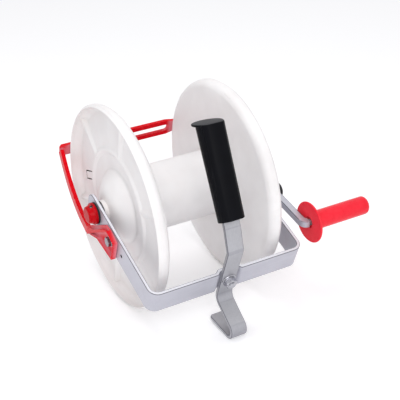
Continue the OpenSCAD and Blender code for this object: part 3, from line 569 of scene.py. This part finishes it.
# %% [markdown]
# ## Marks on the steel
#
# The marks could be painted by hand, but a test does it each time anew. A bend is a row of small faces
# that each turn by a few degrees. The narrow sides of the bent bar face across both the axle and the front
# of the frame, and which way that front leans is read from the guide's joint: the line from the axle to it
# points straight to the front. The hole in the arm is listed among the record's mounts.

# %% Choose faces to mark
joint_place = {joint["name"]: Vector(joint["pos_m"]) for joint in frame["joints"]}
to_right = Vector((1, 0, 0))
to_front = (joint_place["guide_swing"] * YZ).normalized()
arm_hole = next(mount for mount in frame["record"]["mounts"] if mount["name"] == "arm_hole")
hole_place = Vector(arm_hole["pos_m"])
hole_reach = (arm_hole["dims"]["r_mm"] + arm_hole["dims"]["length_mm"] / 2) * MM
bend_face, least_turn_deg, most_turn_deg = 120 * MM * MM, 1.5, 22
flat_side, narrow_side = 0.9, 0.8


def in_bend(face):
    turns = [math.degrees(edge.calc_face_angle(0.0)) for edge in face.edges]
    slight = sum(1 for turn in turns if least_turn_deg < turn < most_turn_deg)
    return slight >= 2 and face.calc_area() < bend_face


def in_arm_hole(face):
    near = (face.calc_center_median() - hole_place).length < hole_reach
    return near and abs(face.normal.x) < flat_side


def on_narrow_side(face):
    sideways = abs(face.normal.dot(to_front.cross(to_right)))
    return sideways > narrow_side and not in_arm_hole(face)


print("front of the frame:", [round(c, 3) for c in to_front])

# %% [markdown]
# ## The softened pieces
#
# The radii are what each way of making leaves: about half a millimetre on rolled flat bar and on mouldings,
# a little more on the flanges, over a millimetre on the soft grip, and next to nothing on stamped washers.
# Small round pieces have short edges, so for them the shortest edge that counts is shorter.

# %% Round the visible edges
small = {"shortest_mm": 0.2}
rounded_edges = 0
for name, finish, radius, options in [
        ("u_frame", zinc_across, 0.6, {"marks": {"narrow": on_narrow_side, "hole": in_arm_hole}}),
        ("handle_strip", zinc_upright, 0.6, {"marks": {"bend": in_bend}}),
        ("crank_bar", zinc_across, 0.6, {"shortest_mm": 2.0}),
        ("axle", zinc_painted_lighter, 0.3, {}),
        ("handle_washer", zinc_painted_lighter, 0.3, small),
        ("guide_washer", zinc_painted_darker, 0.2, small),
        ("thrust_washers", zinc_painted_lighter, 0.2, small),
        ("handle_grip", black_vinyl, 1.2,
         {"sharp_deg": 45, "smooth_deg": 50, "chosen": of_large_face, "even": False}),
        ("crank_hub", black_nylon, 0.5, {}),
        ("left_bush", black_nylon, 0.4, small),
        ("right_bush", black_nylon, 0.4, small),
        ("wire_guide", red_pp, 0.4, {}),
        ("axle_cap", deep_red_pp, 0.4, {"shortest_mm": 0.7}),
        ("crank_grip", bright_red_pp, 0.4, {}),
        ("drum_left_flange", white_pp, 0.7, {"chosen": not_slit, "marks": {"slit": in_slit}}),
        ("drum_right_flange", white_pp, 0.6, {"chosen": outside_barrel})]:
    rounded_edges += soften(name, finish, radius, **options)
print("edges rounded:", rounded_edges)

# %% [markdown]
# ## Turned and threaded pieces
#
# Bolts, nuts, pins and screws are all turned or rolled round an axis, so each one is drawn as a stack of
# rings that is skinned over. A ring's radius may change with the angle, which is all it takes to draw a
# hexagon, a thread or the cross of a screw. First a helper finds where the solid of such a piece lies, so
# that the new one sits in the very same place: heights run along the axis from the solid's own start, and
# angle nought points at its farthest corner.

# %% Helpers for turned pieces
AROUND = 96


def turned_place(points, axis):
    """Where a turned solid starts along its axis, as a matrix, and how long it is in mm."""
    turn = axis.to_track_quat("Z", "X").to_matrix()
    local = [turn.transposed() @ point for point in points]
    low = [min(p[i] for p in local) for i in range(3)]
    high = [max(p[i] for p in local) for i in range(3)]
    middle = Vector(((low[0] + high[0]) / 2, (low[1] + high[1]) / 2, low[2]))
    corner = max(((p - middle).xy for p in local), key=lambda flat: flat.length)
    spin = Matrix.Rotation(math.atan2(corner.y, corner.x), 4, "Z")
    return Matrix.Translation(turn @ middle) @ turn.to_4x4() @ spin, (high[2] - low[2]) / MM


def ring(height, radius):
    """A ring of points in mm. Its height and its radius may be functions of the angle."""
    points = []
    for i in range(AROUND):
        angle = 2 * math.pi * i / AROUND
        r = radius(angle) if callable(radius) else radius
        h = height(angle) if callable(height) else height
        points.append(Vector((r * math.cos(angle), r * math.sin(angle), h)))
    return points


def skin_rings(name, rings, place, looped=False):
    """Skins rings of points, in mm, into one closed piece. A looped stack has a hole down its middle."""
    shape = bmesh.new()
    loops = [[shape.verts.new(place @ (point * MM)) for point in points] for points in rings]
    pairs = list(zip(loops, loops[1:]))
    if looped:
        pairs.append((loops[-1], loops[0]))
    else:
        shape.faces.new(loops[0])
        shape.faces.new(loops[-1])
    for near, far in pairs:
        for i in range(len(near)):
            j = (i + 1) % len(near)
            shape.faces.new((near[i], near[j], far[j], far[i]))
    bmesh.ops.recalc_face_normals(shape, faces=shape.faces)
    return finish_mesh(name, shape, smooth_below_deg=35)


def corners(name):
    return [vertex.co for vertex in nodes[name].data.vertices]


print("points on a ring:", AROUND)

# %% [markdown]
# ## The flange's ring and ribs
#
# A thin flange would flap, so it carries a raised ring round the hub and six ribs that run out from it to
# the rim. In a mould these are milled with a ball cutter, which leaves no corner at all: they swell out of
# the web and sink back into it. A bevel can't give that, so the ring and the ribs are drawn once more over
# the flange, each with a cosine for a section, because a cosine starts and ends level. Their feet are sunk
# a little into the web. The first helper says how high the web stands at each radius. All numbers here are
# in millimetres.

# %% Sections of the ring and the ribs
def web_height(radius):
    """Height in mm of the web's outer side above the winding face."""
    wall, crest, foot = 3.0, 6.5, 4.0
    foot_r, crest_in_r, crest_r, pan_r = 44.0, 67.5, 69.0, 111.0
    if radius > crest_r:
        return max(wall, wall + (crest - wall) * (pan_r - radius) / (pan_r - crest_r))
    return min(crest, foot + (crest - foot) * (radius - foot_r) / (crest_in_r - foot_r))


def swell(offset, half_width):
    return 0.5 + 0.5 * math.cos(math.pi * max(-1.0, min(1.0, offset / half_width)))


face_x, sole, sunk = 63.0, 1.8, 0.15
ring_r, ring_half, ring_rise, ring_steps = 68.0, 6.0, 2.4, 16
rib_half, rib_top_in, rib_top_out, rib_steps = 6.5, 8.5, 8.3, 12
rib_start_r, rib_end_r, rib_rows = 66.0, 119.5, 20


def rib_section(spoke, outward, radius):
    """The rib's section at one radius: its swell from side to side, and back along its sunken foot."""
    across = to_right.cross(spoke)
    points = []
    for k in range(rib_steps + 1):
        offset = rib_half * (2 * k / rib_steps - 1)
        web = web_height(math.hypot(radius, offset)) - sunk
        share = (radius - rib_start_r) / (rib_end_r - rib_start_r)
        top = max(web, rib_top_in + (rib_top_out - rib_top_in) * share)
        height = web + (top - web) * swell(offset, rib_half)
        points.append(spoke * radius + across * offset + outward * (face_x + height))
    feet = [spoke * radius + across * side + outward * (face_x + sole) for side in (rib_half, -rib_half)]
    return points + feet


def ring_section():
    """Circles over the ring's swell, from its inner side to its outer side, and back along its foot."""
    circles = []
    for k in range(ring_steps + 1):
        offset = ring_half * (2 * k / ring_steps - 1)
        height = web_height(ring_r + offset) - sunk + ring_rise * swell(offset, ring_half)
        circles.append(ring(face_x + height, ring_r + offset))
    return circles + [ring(face_x + sole, ring_r + side) for side in (ring_half, -ring_half)]


print("the web is", round(web_height(ring_r), 2), "mm high under the ring")

# %% [markdown]
# ## Ring and ribs on both flanges
#
# The six ribs belong to the drum, and the drum turns with the crank. So their directions start from the
# crank grip's joint, half a step off, and are turned on by 60 degrees each. Both flanges come from the same
# mould shape, so one loop draws them, once facing left and once facing right.

# %% Draw the ring and the ribs
to_grip = (joint_place["knob_spin"] * YZ).normalized()
rib_count = 6
rib_step_deg = 360 / rib_count
spokes = [Matrix.Rotation(math.radians(rib_step_deg / 2 + rib_step_deg * i), 3, "X") @ to_grip
          for i in range(rib_count)]
relief_counts = []
for flange, outward in (("left", -to_right), ("right", to_right)):
    facing = outward.to_track_quat("Z", "Y").to_matrix().to_4x4()
    pieces = [skin_rings(flange + "_flange_ring", ring_section(), facing, looped=True)]
    for i, spoke in enumerate(spokes):
        rows = [rib_section(spoke, outward, rib_start_r + (rib_end_r - rib_start_r) * k / rib_rows)
                for k in range(rib_rows + 1)]
        pieces.append(skin_rings(f"{flange}_flange_rib_{i + 1}", rows, Matrix.Identity(4)))
    for piece in pieces:
        piece.data.materials.append(white_pp)
        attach(piece, "drum")
    relief_counts.append(len(pieces))
print("ring and ribs:", relief_counts)

# %% [markdown]
# ## Bolts and nuts
#
# A hexagon head starts as hexagon bar, and turning its end to a shallow cone takes the corners off. That
# leaves the curved bright facets everyone knows from nuts. In numbers: the cone drops by the tangent of 30
# degrees for each millimetre that the hexagon reaches past the cone's start, a little inside the flats. The
# thread is rolled, so its crests and roots are round, and a cosine wound round the shank draws it.

# %% Hexagons and threads
cone_deg, cone_start = 30, 0.48
rings_per_turn = 8


def hexagon(flats):
    """Reach of a hexagon at each angle, from its width across the flats."""
    return lambda angle: flats / 2 / math.cos(angle % (math.pi / 3) - math.pi / 6)


def chamfer_drop(flats):
    reach = hexagon(flats)
    return lambda angle: (reach(angle) - cone_start * flats) * math.tan(math.radians(cone_deg))


def hex_nut(name, finish, axis, flats, bore):
    place, height = turned_place(corners(name), axis)
    drop = chamfer_drop(flats)
    rings = [ring(0, bore / 2), ring(0, cone_start * flats), ring(drop, hexagon(flats)),
             ring(lambda angle: height - drop(angle), hexagon(flats)), ring(height, cone_start * flats),
             ring(height, bore / 2)]
    stand_for(skin_rings(name + "_turned", rings, place, looped=True), name, finish)
    return height


def thread_rings(start, end, diameter, pitch):
    """Rings of a rolled thread, with its lead-in and a chamfered end."""
    depth = 0.6 * pitch
    steps = round((end - start) / pitch * rings_per_turn)
    rings = []
    for k in range(steps + 1):
        height = start + (end - start) * k / steps
        cut = depth * min(1.0, (height - start) / pitch)
        tip = max(0.0, height - (end - depth))
        rings.append(ring(height, lambda angle, h=height, c=cut, t=tip: min(
            diameter / 2 - c * (0.5 - 0.5 * math.cos(2 * math.pi * h / pitch - angle)),
            diameter / 2 - t)))
    return rings


print("corner of a 13 mm hexagon:", round(hexagon(13)(0), 2), "mm")

# %% [markdown]
# ## The strip's bolt and the guide's bolt
#
# The strip is held by a round-headed M8 bolt whose nut faces the front. The guide swings on an M6 hexagon
# bolt, painted darker because it mirrors the bright floor. Each bolt is one stack of rings: the head, a plain
# length of shank, and the thread. The nuts get a bore a hair wider than the bolt, which spares them a thread
# nobody sees.

# %% Make the strip's bolt
place, length = turned_place(corners("handle_bolt"), to_front)
m8, m8_pitch, plain_shank = 8.0, 1.25, 6
dome_r, dome_h, dome_steps, dome_top_r = 9.5, 3.4, 10, 0.2
lip_h, lip_step = 1.0, 0.3
dome = [ring(dome_h - dome_h * math.cos(t), max(dome_top_r, dome_r * math.sin(t)))
        for t in [math.pi / 2 * k / dome_steps for k in range(dome_steps + 1)]]
lip = [ring(dome_h + lip_h, dome_r - lip_step), ring(dome_h + lip_h, m8 / 2)]
thread = thread_rings(dome_h + lip_h + plain_shank, length, m8, m8_pitch)
bolt = skin_rings("handle_bolt_turned", dome + lip + thread, place)
stand_for(bolt, "handle_bolt", zinc_painted_lighter)
print("the strip's bolt is", round(length, 1), "mm long")

# %% Make the guide's bolt and both nuts
place, length = turned_place(corners("guide_bolt"), to_right)
m6, m6_pitch, flats, head_h = 6.0, 1.0, 10.0, 3.5
head = [ring(0, cone_start * flats), ring(chamfer_drop(flats), hexagon(flats)),
        ring(head_h, hexagon(flats)), ring(head_h, m6 / 2)]
thread = thread_rings(head_h + plain_shank, length, m6, m6_pitch)
bolt = skin_rings("guide_bolt_turned", head + thread, place)
stand_for(bolt, "guide_bolt", zinc_painted_darker)
nut_heights = [hex_nut("handle_nut", zinc_painted_lighter, to_front, flats=13.0, bore=8.1),
               hex_nut("guide_nut", zinc_painted_darker, to_right, flats=10.0, bore=6.1)]
print("nut heights in mm:", [round(h, 2) for h in nut_heights])

# %% [markdown]
# ## Slit pins
#
# A spring pin is a strip rolled into a tube with a slit down its side, so it squeezes as it is driven in.
# Its end shows as a small ring with a gap. A tube could be cut open, but the section is simple enough to
# draw: the outer arc out and the inner arc back. Both ends taper a little, so that the pin finds its hole.

# %% Make the slit pins
pin_r, pin_tip_r, pin_lead, pin_wall = 2.0, 1.65, 0.8, 0.8
slit_deg, arc_steps = 24, 40


def pin_section(height, outer):
    arc = [math.radians(slit_deg + (360 - 2 * slit_deg) * k / arc_steps) for k in range(arc_steps + 1)]
    inner = pin_r - pin_wall
    return [Vector((r * math.cos(a), r * math.sin(a), height))
            for r, angles in ((outer, arc), (inner, arc[::-1])) for a in angles]


pin_axis = to_grip.cross(to_right)
pin_lengths = []
for name in ("drum_pin", "cap_pin", "crank_pin"):
    place, length = turned_place(corners(name), pin_axis)
    profile = [(0, pin_tip_r), (pin_lead, pin_r), (length - pin_lead, pin_r), (length, pin_tip_r)]
    sections = [pin_section(h, r) for h, r in profile]
    stand_for(skin_rings(name + "_rolled", sections, place), name, spring_steel)
    pin_lengths.append(round(length, 1))
print("slit pins, lengths in mm:", pin_lengths)

# %% [markdown]
# ## Crank screws
#
# Two pan-head screws hold the crank bar to its lever. A boolean could cut the cross, but it is cheaper to
# draw: seen from the centre, the edge of a cross is nearer or farther as the angle changes, so it is one
# more ring. The recess narrows downwards like the driver's tip. Both screws are one solid, which is split
# halfway along the lever. The profile lists heights and radii from the tip up to the recess.

# %% Make the crank screws
def cross(arm, half_width):
    """Reach of a cross at each angle, from the length of its arms and half their width."""
    def radius(angle):
        off = abs((angle + math.pi / 4) % (math.pi / 2) - math.pi / 4)
        return min(arm / math.cos(off), half_width / max(math.sin(off), 1e-6))
    return radius


screw_points = corners("crank_screws")
split = sum(f(p.dot(to_grip) for p in screw_points) for f in (min, max)) / 2
shaft_r, tip_h, head_r, pan_h, recess_h = 2.0, 0.8, 3.75, 2.4, 1.3
recess_top, recess_floor = cross(arm=2.05, half_width=0.55), cross(arm=1.1, half_width=0.3)
screws = []
for side in (-1, 1):
    place, length = turned_place([p for p in screw_points if (p.dot(to_grip) - split) * side > 0], to_right)
    head = length - pan_h
    profile = [(0, 0.7 * shaft_r), (tip_h, shaft_r), (head, shaft_r), (head, head_r - 0.2),
               (head + 0.3, head_r), (head + 1.3, head_r), (head + 1.9, 0.92 * head_r),
               (head + 2.3, 0.78 * head_r), (length, 0.62 * head_r),
               (length, recess_top), (length - recess_h, recess_floor)]
    screws.append(skin_rings("crank_screw_pan", [ring(h, r) for h, r in profile], place))
for screw in screws:
    stand_for(screw, "crank_screws", zinc_painted_lighter)
print("crank screws:", [screw.name for screw in screws])

# %% [markdown]
# ## The barrel
#
# The barrel's tube shows no edge of its own, because both its ends run into the flanges. It keeps its solid
# and only takes the white finish.

# %% Finish the barrel
barrel = nodes["drum_barrel"].data
barrel.materials.clear()
barrel.materials.append(white_pp)
print("barrel faces:", len(barrel.polygons))
